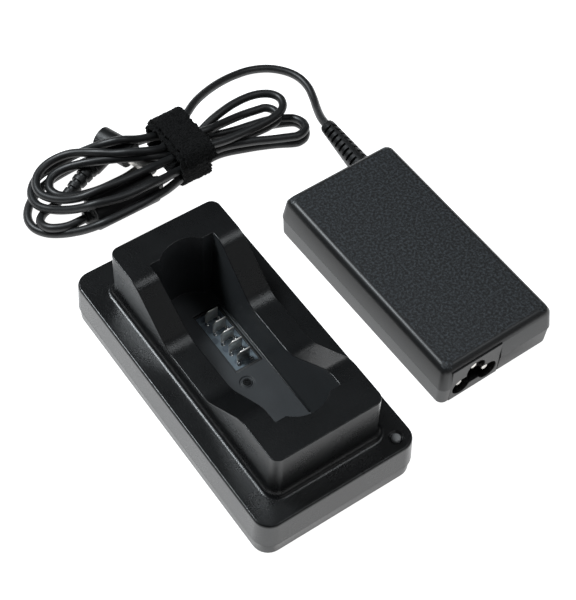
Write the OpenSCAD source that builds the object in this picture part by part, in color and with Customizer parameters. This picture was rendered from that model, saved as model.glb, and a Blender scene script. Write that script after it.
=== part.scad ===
// Battery charging set of a motorized pipette controller: a bench cradle that the
// battery pack drops into, and a desktop mains adapter with its tied DC lead.
// Origin: centre of the cradle's underside, on the bench. +X runs along the short
// side towards the adapter, +Y along the long side, +Z up. Millimetres.

/* [Cradle] */
// Length of the cradle along Y
cradle_l = 104; // [102:1:108]
// Width of the cradle along X
cradle_w = 54; // [53:1:58]
// Height of the flange's deck over the bench
deck_z = 16.7; // [16.5:0.1:18]
// Height of the raised tub's top over the bench
tub_top_z = 35.2; // [34:0.2:38]
// Height of the joint between the two cradle shells
cradle_split_z = 6.3; // [6.2:0.05:6.4]

/* [Battery pocket] */
// Width of the pocket's mouth
pocket_w = 22; // [21:0.5:23]
// Length of the pocket's mouth between its shoulders
pocket_l = 64.5; // [62:0.5:65]
// Height of the pocket's floor over the bench
floor_z = 8; // [8:0.1:8.5]
// Height of the low middle of the side walls, where fingers reach in
dip_z = 22.3; // [21.5:0.1:24]
// Distance between neighbouring contact blades
blade_pitch = 4.4; // [4:0.1:4.6]

/* [Adapter] */
// Length of the adapter along Y
adapter_l = 83; // [82:1:86]
// Width of the adapter along X
adapter_w = 44; // [43.5:0.5:46]
// Height of the adapter over the bench
adapter_h = 17.6; // [17.6:0.1:19]
// Height of the joint between the two adapter shells
adapter_split_z = 8.4; // [8.2:0.1:8.6]

/* [Lead] */
// Outer diameter of the DC lead
cord_d = 2.9; // [2.5:0.1:3]
// Height of the tied hank of lead
hank_h = 12; // [11:0.5:13]

/* [Hidden] */
$fn = 48;
hull_fn = 32;
eps = 0.01;
foot_z = 0.2;              // gap that the rubber feet leave under a shell
case_wall = 1.8;
seam_gap = 0.45;           // dark line between the cradle's shells
lip_h = 1.0;
board_t = 1.6;

cradle_r = 5.2;            // plan corner radius
flare = 0.5;               // the flange spreads by this much down to the joint
base_wall = 2.9;
inner_w = cradle_w - 3.6;
inner_l = cradle_l - 3.6;
deck_t = 1.8;
deck_edge = 0.5;           // small round along the deck's outline

tub_w = 37.4;
tub_front_y = -44.2;
tub_back_y = 42.4;
tub_l = tub_back_y - tub_front_y;
tub_mid_y = (tub_back_y + tub_front_y) / 2;
tub_r = 3;
// Concave sweep at the tub's foot: reach below, reach above and rise of each step
cove_steps = [[2.2, 1.2, 0.5], [1.2, 0.5, 0.8], [0.5, 0, 1.7]];
tub_wall = 1.8;

pocket_mid_y = -0.85;
pocket_draft = 1.3;        // each side wall closes in by this much down to the floor
end_r = 10.1;              // radius of the bulge in each end wall
end_sag = 3.1;             // how far a bulge reaches past the shoulders
pocket_wall = 1.6;
floor_t = 1.2;
board_top_z = floor_z - floor_t;

window_w = 9.4;
window_l = 24.4;
window_x = 4;
window_y = 12.9;
blade_count = 5;
blade_w = 4.6;
blade_t = 0.5;
blade_top_z = 11.6;
blade_x = 4.2;
blade_mid_y = 13.3;

dip_flat = 7;              // half length of the level part of the dip
dip_slope = 37;
dip_low_r = 10;
dip_high_r = 8;
dip_roof = 2.2;            // wall left under the dip

screw_x = 20.8;
screw_y = 38;
boss_r = 2.6;
screw_r = 1.15;
screw_hole_r = 1.2;
head_r = 2.2;
head_t = 1.4;
head_seat_z = 2.4;
foot_x = 18;
foot_y = 46;
foot_r = 3.5;
foot_t = 1;

led_x = 21.8;
led_y = -47.5;
lens_r = 1.45;
ring_r = 2.1;
ring_depth = 0.5;
gate_y = -3.7;             // moulded ring in the pocket's floor
gate_r = 2.2;

// Parts on the charger board: middle [x, y] and size
inductor_at = [18.4, 20];
inductor_size = [9.6, 9.6, 5];
input_capacitor_at = [18.4, 6];
input_capacitor_r = 4;
input_capacitor_h = 7.4;
controller_at = [-18.75, 9];
controller_size = [5.5, 6, 1.4];
transistor_at = [-18.75, -11];
transistor_size = [6.5, 6, 2.3];
led_size = [3, 1.8, 1.3];
lens_gap = 0.1;            // between the LED and the foot of its light pipe

jack_z = 10.8;
jack_w = 9;
jack_back_y = 37;
jack_front_y = 49;
jack_nose_r = 3.4;
jack_bore_r = 2.9;
jack_pin_r = 1;
jack_hole_r = 3.5;

adapter_x = 67.2;
adapter_y = 2.4;
adapter_turn = 1.1;
adapter_r = 2.4;
adapter_draft = 0.75;
adapter_gap = 0.2;
adapter_round = 2.4;
adapter_inner_w = adapter_w - 3.6;
adapter_inner_l = adapter_l - 3.6;
adapter_floor_z = foot_z + case_wall;
adapter_roof_z = adapter_h - case_wall;
adapter_board_z = 3.6;
adapter_deck_z = adapter_board_z + board_t;

inlet_x = -8.7;
inlet_w = 19.4;
inlet_top_z = 15.6;
inlet_low_z = 0.6;
inlet_face_y = -adapter_l / 2 + 0.4;
inlet_flange_t = 2.4;
inlet_body_l = 14;
inlet_depth = 12.8;
lobe_r = 3.4;
lobe_x = 5.1;
lobe_z = 5.4;
earth_z = 10.3;
inlet_pin_r = 1.15;
inlet_pin_l = 11.6;

// Parts on the adapter board: middle [x, y] and size
board_half_w = 18.5;
board_front_y = -22;
board_back_y = 36;
core_at = [3, 10];
core_size = [22, 18, 9.6];
winding_size = [14, 22, 5.6];
winding_lift = 2;
bulk_capacitor_at = [-13, -8];
bulk_capacitor_r = 4.6;
bulk_capacitor_l = 22;
output_capacitor_x = [-14.5, -8];
output_capacitor_y = 27;
output_capacitor_r = 3;
output_capacitor_h = 9.5;
choke_at = [11.5, -12];
choke_r = 6;
choke_hole_r = 2.4;
choke_h = 8;
suppressor_at = [-1, -18];
suppressor_size = [8, 6, 9];
rectifier_at = [-1.5, -10.5];
rectifier_size = [9, 3, 8];
primary_sink_at = [16.95, 8];
primary_sink_size = [1.5, 24, 9.8];
output_sink_at = [0.5, 24.75];
output_sink_size = [9, 1.5, 9.8];
fuse_at = [6.5, -20.35];
fuse_r = 1.6;
fuse_l = 2.3;
adapter_foot_r = 3;
adapter_foot_x = adapter_w / 2 - 7;
adapter_foot_y = adapter_l / 2 - 8;

relief_x = 12.2;
relief_z = 8.4;
relief_r1 = 4.1;
relief_r2 = 2.8;
relief_l = 24.4;
relief_drop = 5.7;
relief_turn = -7;
collar_r = 4.4;
// Ring grooves of a sleeve: first, pitch, count and depth
relief_grooves = [4, 2.6, 7, 0.7];
plug_grooves = [1.5, 2.8, 4, 0.7];

hank_left = [-7.5, 92.5];
hank_left_r = 14.5;
hank_waist = [33, 86];
hank_waist_r = 10.5;
hank_right = [63.5, 81];
hank_right_r = 13;

strap_x = 27.4;
strap_w = 11.4;
strap_t = 1.3;
strap_len_y = 23.6;
strap_h = 13.6;
strap_r = 4.5;

ferrite_x = -5;
ferrite_y = 78.3;
ferrite_l = 23.2;
ferrite_r = 5.6;
ferrite_wall = 1.1;
ferrite_end = 1.5;
ferrite_nose_l = 2.5;
ferrite_nose_r = [2.2, 3];

plug_head = [13.5, 103.7, 7.3];
plug_turn = -68.8;         // the barrel's direction, from +X
plug_roll = 8;             // the arm dips by this much from level
plug_head_l = 13;
plug_head_r = 4.5;
plug_arm_at = 4.5;         // where the arm leaves the head, from its cap
plug_arm_l = 11;
plug_arm_r = [4.1, 3.4];
plug_rib_l = 13;
plug_rib_r = [3.1, 2];
barrel_r = 2.75;
barrel_l = 9.5;
barrel_wall = 0.45;
socket_l = 4;              // length of the barrel that is held in the plug's head
insulator_bore_r = 1.35;
contact_r = 1.3;
contact_bore_r = 1.05;

// The lead's route from its strain relief to the tied hank
cord_route = [
    [81.1, 68.2, 6], [82.5, 73.5, 4.2], [84.8, 79, 2.4], [87, 84, 1.5],
    [88.6, 89.5, 1.5], [88.5, 95, 1.5], [86.2, 100, 1.5], [81.8, 104.4, 1.5],
    [75.5, 106.8, 2], [68.5, 106.9, 3], [61.5, 105.6, 4.4], [54.5, 103, 6.2],
    [48, 99.6, 8], [42, 95.5, 9.2]
];
tube_sides = 8;

// ---- shared shapes ----

// A plan rectangle with round corners
module plan(w, l, r) {
    square([w - 2 * r, l], center = true);
    square([w, l - 2 * r], center = true);
    for (x = [-1, 1], y = [-1, 1])
        translate([x * (w / 2 - r), y * (l / 2 - r)]) circle(r);
}

// A straight-sided plate from z0 to z1
module plate(w, l, r, z0, z1) {
    translate([0, 0, z0]) linear_extrude(z1 - z0) plan(w, l, r);
}

// A thin plate, used as one end of a drafted block
module leaf(w, l, r, z) {
    translate([0, 0, z]) linear_extrude(eps) plan(w, l, r, $fn = hull_fn);
}

module box(x0, x1, y0, y1, z0, z1) {
    translate([x0, y0, z0]) cube([x1 - x0, y1 - y0, z1 - z0]);
}

// A block that stands on z, centred at a place in plan
module block_at(at, size, z) {
    translate([at[0] - size[0] / 2, at[1] - size[1] / 2, z]) cube(size);
}

module at_corners(x, y) {
    for (i = [-1, 1], j = [-1, 1]) translate([i * x, j * y, 0]) children();
}

// A cylinder along +Y that starts at y0
module rod_y(r, x, z, y0, y1) {
    translate([x, y0, z]) rotate([-90, 0, 0]) cylinder(r = r, h = y1 - y0);
}

// ---- cradle ----

// Rim curve on one side, from the dip's level part up to the tub's top, as [y, z]
function dip_side() =
    let (low_y = dip_flat + dip_low_r * sin(dip_slope),
         low_z = dip_z + dip_low_r * (1 - cos(dip_slope)),
         high_z = tub_top_z - dip_high_r * (1 - cos(dip_slope)),
         high_y = low_y + (high_z - low_z) / tan(dip_slope),
         top_y = high_y + dip_high_r * sin(dip_slope))
    concat(
        [for (i = [0:5]) let (a = dip_slope * i / 5)
            [dip_flat + dip_low_r * sin(a), dip_z + dip_low_r * (1 - cos(a))]],
        [for (i = [0:5]) let (a = dip_slope * (1 - i / 5))
            [top_y - dip_high_r * sin(a), tub_top_z - dip_high_r * (1 - cos(a))]]
    );

// Everything above the rim curve, across both side walls
module dip_cut() {
    side = dip_side();
    reach = side[len(side) - 1][0];
    outline = concat(
        side,
        [[reach, tub_top_z + 5], [-reach, tub_top_z + 5]],
        [for (i = [len(side) - 1:-1:0]) [-side[i][0], side[i][1]]]
    );
    translate([-cradle_w / 2, 0, 0])
        rotate([90, 0, 90]) linear_extrude(cradle_w) polygon(outline);
}

// The pocket's space, grown by grow on every side
module pocket_space(grow, z0) {
    half_y = pocket_l / 2 + grow;
    top = tub_top_z + 1;
    draft_at_z0 = pocket_draft * (tub_top_z - z0) / (tub_top_z - floor_z);
    hull() {
        translate([0, pocket_mid_y, top])
            cube([pocket_w + 2 * grow, 2 * half_y, eps], center = true);
        translate([0, pocket_mid_y, z0 + eps / 2])
            cube([pocket_w + 2 * grow - 2 * draft_at_z0, 2 * half_y - 0.6, eps], center = true);
    }
    for (side = [-1, 1])
        translate([0, pocket_mid_y + side * (pocket_l / 2 + end_sag - end_r), z0])
            cylinder(r1 = end_r + grow - 0.2, r2 = end_r + grow, h = top - z0);
}

// Height at which step i of the cove starts
function cove_foot(i) = i == 0 ? deck_z - eps : cove_foot(i - 1) + cove_steps[i - 1][2];

module cove_step(step, z) {
    hull() {
        leaf(tub_w + 2 * step[0], tub_l + 2 * step[0], tub_r + step[0], z);
        leaf(tub_w + 2 * step[1], tub_l + 2 * step[1], tub_r + step[1], z + step[2]);
    }
}

module cradle_outside() {
    hull() {
        leaf(cradle_w + 2 * flare, cradle_l + 2 * flare, cradle_r + flare, cradle_split_z);
        leaf(cradle_w, cradle_l, cradle_r, deck_z - deck_edge);
        leaf(cradle_w - 1.6 * deck_edge, cradle_l - 1.6 * deck_edge, cradle_r - 0.8 * deck_edge,
            deck_z - eps);
    }
    translate([0, tub_mid_y, 0]) {
        plate(tub_w, tub_l, tub_r, deck_z - deck_t, tub_top_z);
        for (i = [0:len(cove_steps) - 1]) cove_step(cove_steps[i], cove_foot(i));
    }
}

module cradle_hollow() {
    difference() {
        union() {
            plate(inner_w, inner_l, cradle_r - case_wall, cradle_split_z - 1, deck_z - deck_t);
            translate([0, tub_mid_y, 0])
                plate(
                    tub_w - 2 * tub_wall, tub_l - 2 * tub_wall, 1.2,
                    deck_z - deck_t - 1, tub_top_z - tub_wall
                );
        }
        pocket_space(pocket_wall, board_top_z);
        translate([0, 0, -dip_roof]) dip_cut();
        at_corners(screw_x, screw_y) translate([0, 0, board_top_z]) cylinder(r = boss_r, h = 9);
    }
}

module window_cut() {
    translate([window_x, window_y, board_top_z - 1]) linear_extrude(3)
        square([window_w, window_l], center = true);
}

module cradle_top_shell() {
    color("#1b1d20") difference() {
        cradle_outside();
        cradle_hollow();
        pocket_space(0, floor_z);
        dip_cut();
        window_cut();
        at_corners(screw_x, screw_y)
            translate([0, 0, cradle_split_z - 1]) cylinder(r = screw_hole_r, h = 7.5);
        translate([led_x, led_y, 0]) {
            cylinder(r = lens_r + 0.05, h = tub_top_z);
            translate([0, 0, deck_z - ring_depth]) cylinder(r = ring_r, h = 1);
        }
        translate([0, gate_y, floor_z - 0.25]) difference() {
            cylinder(r = gate_r, h = 1);
            cylinder(r = gate_r - 0.6, h = 1);
        }
        rod_y(jack_hole_r, 0, jack_z, jack_front_y - 1, cradle_l);
    }
}

module cradle_base_shell() {
    top = cradle_split_z - seam_gap;
    color("#1b1d20") difference() {
        union() {
            hull() {
                leaf(cradle_w - 2.4, cradle_l - 2.4, cradle_r - 1.2, foot_z);
                leaf(cradle_w, cradle_l, cradle_r, foot_z + 1.2);
                leaf(cradle_w, cradle_l, cradle_r, top - eps);
            }
            plate(inner_w - 0.2, inner_l - 0.2, cradle_r - case_wall - 0.1, top - 1, top + lip_h);
        }
        difference() {
            plate(cradle_w - 2 * base_wall, cradle_l - 2 * base_wall, cradle_r - base_wall,
                foot_z + case_wall, top + lip_h + 1);
            at_corners(screw_x, screw_y) cylinder(r = 3.2, h = board_top_z - board_t);
        }
        at_corners(screw_x, screw_y) {
            cylinder(r = screw_hole_r + 0.2, h = 12);
            cylinder(r = head_r + 0.2, h = head_seat_z);
        }
        at_corners(foot_x, foot_y) cylinder(r = foot_r, h = foot_t);
    }
}

module charger_board() {
    size_x = cradle_w - 2 * base_wall - 0.4;
    size_y = cradle_l - 2 * base_wall - 0.4;
    color("#6d7a86") difference() {
        plate(size_x, size_y, 2, board_top_z - board_t, board_top_z);
        at_corners(screw_x, screw_y) cylinder(r = screw_hole_r + 0.3, h = 12);
        for (i = [1:blade_count]) translate([blade_x, blade_y(i), 0])
            cube([blade_w - 1, blade_t, 30], center = true);
    }
}

function blade_y(i) = blade_mid_y + (3 - i) * blade_pitch;

// A flat contact that stands on the board, with a narrower tail through it
module contact_blade(i) {
    color("#c9c6bd") translate([blade_x, blade_y(i), 0]) {
        box(-blade_w / 2, blade_w / 2, -blade_t / 2, blade_t / 2, board_top_z, blade_top_z);
        box(-blade_w / 2 + 0.5, blade_w / 2 - 0.5, -blade_t / 2, blade_t / 2,
            board_top_z - board_t - 0.6, board_top_z);
    }
}

module status_lens() {
    color("#e9ecea") translate([led_x, led_y, 0]) {
        foot = board_top_z + led_size[2] + lens_gap;
        translate([0, 0, foot]) cylinder(r = lens_r, h = deck_z - ring_depth - foot);
        translate([0, 0, deck_z - ring_depth]) sphere(lens_r);
    }
}

module status_led() {
    color("#f2efe0") block_at([led_x, led_y], led_size, board_top_z);
}

module dc_jack_body() {
    color("#141416") difference() {
        union() {
            box(-jack_w / 2, jack_w / 2, jack_back_y, jack_front_y, board_top_z, deck_z - deck_t - 0.2);
            rod_y(jack_nose_r, 0, jack_z, jack_front_y - 1, cradle_l / 2 - 0.2);
        }
        rod_y(jack_bore_r, 0, jack_z, jack_back_y + 3, cradle_l);
    }
}

module dc_jack_pin() {
    color("#cfc9b8") rod_y(jack_pin_r, 0, jack_z, jack_back_y + 3, cradle_l / 2 - 1.5);
}

module power_inductor() {
    color("#4a4c50") translate([inductor_at[0], inductor_at[1], board_top_z])
        plate(inductor_size[0], inductor_size[1], 2, 0, inductor_size[2]);
}

module input_capacitor() {
    color("#2e3550") translate([input_capacitor_at[0], input_capacitor_at[1], board_top_z])
        cylinder(r = input_capacitor_r, h = input_capacitor_h);
}

module charge_controller() {
    color("#202124") block_at(controller_at, controller_size, board_top_z);
}

module power_transistor() {
    color("#26272a") block_at(transistor_at, transistor_size, board_top_z);
}

module case_screws() {
    color("#9a9da1") at_corners(screw_x, screw_y) difference() {
        union() {
            translate([0, 0, head_seat_z - head_t]) cylinder(r = head_r, h = head_t);
            translate([0, 0, head_seat_z - eps]) cylinder(r = screw_r, h = 9.6);
        }
        translate([0, 0, head_seat_z - head_t]) {
            cube([2.6, 0.5, 1.4], center = true);
            cube([0.5, 2.6, 1.4], center = true);
        }
    }
}

module cradle_feet() {
    color("#2a2b2d") at_corners(foot_x, foot_y) cylinder(r = foot_r, h = foot_t);
}

// ---- adapter ----

module on_adapter() {
    translate([adapter_x, adapter_y, 0]) rotate(adapter_turn) children();
}

module inlet_opening() {
    box(inlet_x - inlet_w / 2, inlet_x + inlet_w / 2, -adapter_l / 2 - 1,
        inlet_face_y + inlet_flange_t + 0.3, inlet_low_z, inlet_top_z);
}

module relief_hole() {
    rod_y(collar_r, relief_x, relief_z, adapter_l / 2 - 6, adapter_l / 2 + 3);
}

module adapter_top_shell() {
    color("#202226") on_adapter() difference() {
        hull() {
            leaf(adapter_w, adapter_l, adapter_r, adapter_split_z);
            leaf(adapter_w - 2 * adapter_draft, adapter_l - 2 * adapter_draft, adapter_r,
                adapter_h - adapter_round);
            leaf(adapter_w - 3.2, adapter_l - 3.2, adapter_r, adapter_h - 0.8);
            leaf(adapter_w - 2 * adapter_round - 1.4, adapter_l - 2 * adapter_round - 1.4, adapter_r,
                adapter_h - eps);
        }
        plate(adapter_inner_w, adapter_inner_l, 2, adapter_split_z - 1, adapter_roof_z);
        inlet_opening();
        relief_hole();
    }
}

module adapter_bottom_shell() {
    top = adapter_split_z - adapter_gap;
    color("#26282b") on_adapter() difference() {
        union() {
            hull() {
                leaf(adapter_w - 2.6, adapter_l - 2.6, adapter_r - 0.8, foot_z);
                leaf(adapter_w - 0.8, adapter_l - 0.8, adapter_r, foot_z + 1);
                leaf(adapter_w - 0.3, adapter_l - 0.3, adapter_r, top - eps);
            }
            plate(adapter_inner_w - 0.2, adapter_inner_l - 0.2, 1.9, top - 1, top + lip_h);
        }
        plate(adapter_inner_w - 2.2, adapter_inner_l - 2.2, 1.5, adapter_floor_z, top + lip_h + 1);
        inlet_opening();
        relief_hole();
        at_corners(adapter_foot_x, adapter_foot_y) cylinder(r = adapter_foot_r, h = foot_t);
    }
}

// The cloverleaf hollow of a three-pin appliance inlet
module clover(depth) {
    rotate([90, 0, 0]) linear_extrude(depth) {
        for (x = [-lobe_x, lobe_x]) translate([x, lobe_z]) circle(lobe_r);
        translate([0, earth_z]) circle(lobe_r);
        translate([-lobe_x, lobe_z - 1.1]) square([2 * lobe_x, lobe_r + 1.1]);
        translate([-lobe_r, lobe_z]) square([2 * lobe_r, earth_z - lobe_z]);
    }
}

module mains_inlet() {
    back = inlet_face_y + inlet_flange_t;
    color("#1a1b1d") on_adapter() difference() {
        union() {
            box(inlet_x - inlet_w / 2 + 0.1, inlet_x + inlet_w / 2 - 0.1, inlet_face_y, back,
                inlet_low_z + 0.1, inlet_top_z - 0.1);
            box(inlet_x - 9.2, inlet_x + 9.2, back - eps, back + inlet_body_l, adapter_floor_z + 0.1,
                inlet_top_z - 0.5);
        }
        translate([inlet_x, inlet_face_y + inlet_depth, 0]) clover(inlet_depth + 1);
    }
}

module inlet_pins() {
    y0 = inlet_face_y + inlet_depth - inlet_pin_l;
    color("#d6d3c8") on_adapter() for (p = [[-lobe_x, lobe_z], [lobe_x, lobe_z], [0, earth_z]])
        rod_y(inlet_pin_r, inlet_x + p[0], p[1], y0, inlet_face_y + inlet_depth);
}

module adapter_board() {
    color("#2f6b45") on_adapter()
        box(-board_half_w, board_half_w, board_front_y, board_back_y, adapter_board_z, adapter_deck_z);
}

module winding_block(grow) {
    block_at(core_at, winding_size + [0, grow, 0], adapter_deck_z + winding_lift);
}

module transformer_core() {
    color("#4b4b4f") on_adapter() difference() {
        block_at(core_at, core_size, adapter_deck_z);
        winding_block(-2);
    }
}

module transformer_winding() {
    color("#d9b64a") on_adapter() winding_block(0);
}

module bulk_capacitor() {
    color("#23304d") on_adapter()
        rod_y(bulk_capacitor_r, bulk_capacitor_at[0], adapter_deck_z + bulk_capacitor_r + 0.1,
            bulk_capacitor_at[1] - bulk_capacitor_l / 2, bulk_capacitor_at[1] + bulk_capacitor_l / 2);
}

module output_capacitors() {
    color("#33384a") on_adapter() for (x = output_capacitor_x)
        translate([x, output_capacitor_y, adapter_deck_z])
            cylinder(r = output_capacitor_r, h = output_capacitor_h);
}

module filter_choke() {
    color("#3b5b3d") on_adapter() translate([choke_at[0], choke_at[1], adapter_deck_z]) difference() {
        cylinder(r = choke_r, h = choke_h);
        translate([0, 0, -1]) cylinder(r = choke_hole_r, h = choke_h + 2);
    }
}

module suppression_capacitor() {
    color("#c8a13a") on_adapter() block_at(suppressor_at, suppressor_size, adapter_deck_z);
}

module bridge_rectifier() {
    color("#232427") on_adapter() block_at(rectifier_at, rectifier_size, adapter_deck_z);
}

module primary_heat_sink() {
    color("#a9adb2") on_adapter() block_at(primary_sink_at, primary_sink_size, adapter_deck_z);
}

module output_heat_sink() {
    color("#a9adb2") on_adapter() block_at(output_sink_at, output_sink_size, adapter_deck_z);
}

module mains_fuse() {
    color("#d9d4c4") on_adapter()
        rod_y(fuse_r, fuse_at[0], adapter_deck_z + fuse_r,
            fuse_at[1] - fuse_l / 2, fuse_at[1] + fuse_l / 2);
}

module adapter_feet() {
    color("#2a2b2d") on_adapter() at_corners(adapter_foot_x, adapter_foot_y)
        cylinder(r = adapter_foot_r, h = foot_t);
}

// ---- lead ----

// Children are drawn along +Z and laid along the strain relief's axis
module on_relief() {
    on_adapter() translate([relief_x, adapter_l / 2, relief_z]) rotate([0, 0, relief_turn])
        rotate([-90 - relief_drop, 0, 0]) children();
}

// Half outline of a tapered sleeve with ring grooves, from its base at z = 0
function sleeve_outline(r1, r2, l, grooves) =
    let (first = grooves[0], pitch = grooves[1], count = grooves[2], depth = grooves[3])
    concat(
        [[0, 0], [r1, 0]],
        [for (i = [0:count - 1], e = [0:3])
            let (z = first + pitch * i + (e > 1 ? pitch / 2.6 : 0),
                 r = r1 + (r2 - r1) * z / l)
            [r - (e == 1 || e == 2 ? depth : 0), z]],
        [[r2, l], [0, l]]
    );

module cord_strain_relief() {
    color("#191a1c") {
        on_adapter() rod_y(collar_r - 0.1, relief_x, relief_z, adapter_l / 2 - 5, adapter_l / 2 + 1);
        on_relief() rotate_extrude()
            polygon(sleeve_outline(relief_r1, relief_r2, relief_l, relief_grooves));
    }
}

function unit(v) = v / norm(v);
function tangent(path, i) =
    unit(path[min(i + 1, len(path) - 1)] - path[max(i - 1, 0)]);
function ring(p, t, r, sides) =
    let (side = unit(cross(t, [0, 0, 1])), up = cross(side, t))
    [for (k = [0:sides - 1]) let (a = 360 * k / sides)
        p + r * cos(a) * side + r * sin(a) * up];

// A tube swept along a list of points, one ring at each
module tube(path, r, sides) {
    n = len(path);
    points = [for (i = [0:n - 1]) each ring(path[i], tangent(path, i), r, sides)];
    walls = [for (i = [0:n - 2], k = [0:sides - 1])
        [i * sides + k, i * sides + (k + 1) % sides,
         (i + 1) * sides + (k + 1) % sides, (i + 1) * sides + k]];
    near_end = [[for (k = [sides - 1:-1:0]) k]];
    far_end = [[for (k = [0:sides - 1]) (n - 1) * sides + k]];
    polyhedron(points, concat(walls, near_end, far_end), convexity = 6);
}

module dc_cord() {
    color("#17181a") tube(cord_route, cord_d / 2, tube_sides);
}

module cord_hank() {
    color("#17181a") linear_extrude(hank_h) {
        hull() {
            translate(hank_left) circle(hank_left_r);
            translate(hank_waist) circle(hank_waist_r);
        }
        hull() {
            translate(hank_waist) circle(hank_waist_r);
            translate(hank_right) circle(hank_right_r);
        }
    }
}

module cord_strap() {
    color("#0e0e0f") translate([strap_x, hank_waist[1], strap_h / 2])
        rotate([90, 0, 90]) difference() {
            linear_extrude(strap_w) plan(strap_len_y, strap_h, strap_r);
            translate([0, 0, -1]) linear_extrude(strap_w + 2)
                plan(strap_len_y - 2 * strap_t, strap_h - 2 * strap_t, strap_r - strap_t);
        }
}

module on_ferrite() {
    translate([ferrite_x, ferrite_y, ferrite_r]) rotate([0, 90, 0]) children();
}

module ferrite_cover() {
    color("#1c1d1f") on_ferrite() difference() {
        union() {
            cylinder(r = ferrite_r, h = ferrite_l);
            translate([0, 0, -ferrite_nose_l])
                cylinder(r1 = ferrite_nose_r[0], r2 = ferrite_nose_r[1], h = ferrite_nose_l + 0.1);
            translate([0, 0, ferrite_l - 0.1])
                cylinder(r1 = ferrite_nose_r[1], r2 = ferrite_nose_r[0], h = ferrite_nose_l + 0.1);
        }
        translate([0, 0, ferrite_end])
            cylinder(r = ferrite_r - ferrite_wall, h = ferrite_l - 2 * ferrite_end);
        translate([0, 0, -5]) cylinder(r = cord_d / 2, h = ferrite_l + 10);
    }
}

module ferrite_bead() {
    color("#3a3a3d") on_ferrite() translate([0, 0, ferrite_end]) difference() {
        cylinder(r = ferrite_r - ferrite_wall - 0.05, h = ferrite_l - 2 * ferrite_end);
        translate([0, 0, -1]) cylinder(r = cord_d / 2 + 0.1, h = ferrite_l);
    }
}

// Children are drawn along +Z and laid along the plug's head and barrel
module on_plug() {
    translate(plug_head) rotate([0, 90, plug_turn]) rotate(plug_roll) children();
}

// Children are drawn along +Z and laid along the plug's arm, at right angles
module on_plug_arm() {
    on_plug() translate([0, 0, plug_arm_at]) rotate([90, 0, 0]) children();
}

module plug_body() {
    color("#1c1d1f") difference() {
        union() {
            on_plug() cylinder(r = plug_head_r, h = plug_head_l);
            on_plug_arm() cylinder(r1 = plug_arm_r[0], r2 = plug_arm_r[1], h = plug_arm_l);
        }
        on_plug() translate([0, 0, plug_head_l - socket_l]) cylinder(r = barrel_r, h = socket_l + 1);
    }
}

module plug_strain_relief() {
    color("#1c1d1f") on_plug_arm() translate([0, 0, plug_arm_l])
        rotate_extrude() polygon(sleeve_outline(plug_rib_r[0], plug_rib_r[1], plug_rib_l, plug_grooves));
}

module plug_barrel() {
    color("#c9cbce") on_plug() translate([0, 0, plug_head_l - socket_l]) difference() {
        cylinder(r = barrel_r - 0.02, h = barrel_l + socket_l);
        translate([0, 0, 1]) cylinder(r = barrel_r - barrel_wall, h = barrel_l + socket_l);
    }
}

module plug_insulator() {
    color("#22262b") on_plug() translate([0, 0, plug_head_l - socket_l + 1]) difference() {
        cylinder(r = barrel_r - barrel_wall - 0.05, h = barrel_l + socket_l - 1.1);
        translate([0, 0, 1]) cylinder(r = insulator_bore_r, h = barrel_l + socket_l);
    }
}

module plug_contact() {
    color("#d8c48a") on_plug() translate([0, 0, plug_head_l - socket_l + 2]) difference() {
        cylinder(r = contact_r, h = barrel_l + 1);
        translate([0, 0, 1]) cylinder(r = contact_bore_r, h = barrel_l + socket_l);
    }
}

cradle_top_shell();
cradle_base_shell();
charger_board();
contact_blade(1);  // contact_blade_1
contact_blade(2);  // contact_blade_2
contact_blade(3);  // contact_blade_3
contact_blade(4);  // contact_blade_4
contact_blade(5);  // contact_blade_5
status_lens();
status_led();
dc_jack_body();
dc_jack_pin();
power_inductor();
input_capacitor();
charge_controller();
power_transistor();
case_screws();
cradle_feet();
adapter_top_shell();
adapter_bottom_shell();
mains_inlet();
inlet_pins();
adapter_board();
transformer_core();
transformer_winding();
bulk_capacitor();
output_capacitors();
filter_choke();
suppression_capacitor();
bridge_rectifier();
primary_heat_sink();
output_heat_sink();
mains_fuse();
adapter_feet();
cord_strain_relief();
dc_cord();
cord_hank();
cord_strap();
ferrite_cover();
ferrite_bead();
plug_body();
plug_strain_relief();
plug_barrel();
plug_insulator();
plug_contact();
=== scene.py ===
# %% [markdown]
# # Charging set of a motorized pipette controller
# The object is a bench cradle with an open battery pocket, and a desktop mains adapter whose
# low-voltage lead is folded into a hank and tied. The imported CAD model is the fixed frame: it
# holds every size, and each piece that is made here sits where its CAD node sits.

# %% Load the frame
import math

import bpy
from mathutils import Matrix, Quaternion, Vector


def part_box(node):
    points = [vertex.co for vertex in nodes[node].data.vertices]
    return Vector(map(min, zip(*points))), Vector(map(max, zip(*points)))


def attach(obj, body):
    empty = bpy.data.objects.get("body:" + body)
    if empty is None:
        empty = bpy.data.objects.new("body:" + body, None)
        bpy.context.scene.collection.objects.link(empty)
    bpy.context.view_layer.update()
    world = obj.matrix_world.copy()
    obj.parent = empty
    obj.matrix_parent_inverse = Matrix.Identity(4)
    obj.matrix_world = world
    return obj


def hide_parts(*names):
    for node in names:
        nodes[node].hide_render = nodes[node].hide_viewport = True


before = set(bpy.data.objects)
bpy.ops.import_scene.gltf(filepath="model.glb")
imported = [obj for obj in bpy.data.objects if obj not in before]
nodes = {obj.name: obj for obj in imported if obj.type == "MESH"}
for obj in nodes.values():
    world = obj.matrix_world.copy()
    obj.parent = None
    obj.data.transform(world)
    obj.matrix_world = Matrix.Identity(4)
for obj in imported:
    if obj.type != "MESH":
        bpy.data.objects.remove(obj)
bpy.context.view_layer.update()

# %% [markdown]
# Blender works in metres and the parts are small, so sizes are written in millimetres and turned
# into metres by one helper. Operators act on whatever is selected, and the import leaves the CAD
# nodes selected, so another helper clears the selection before each new piece.

# %% Small helpers
MM = 0.001


def mm(*values):
    return Vector(values) * MM


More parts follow.
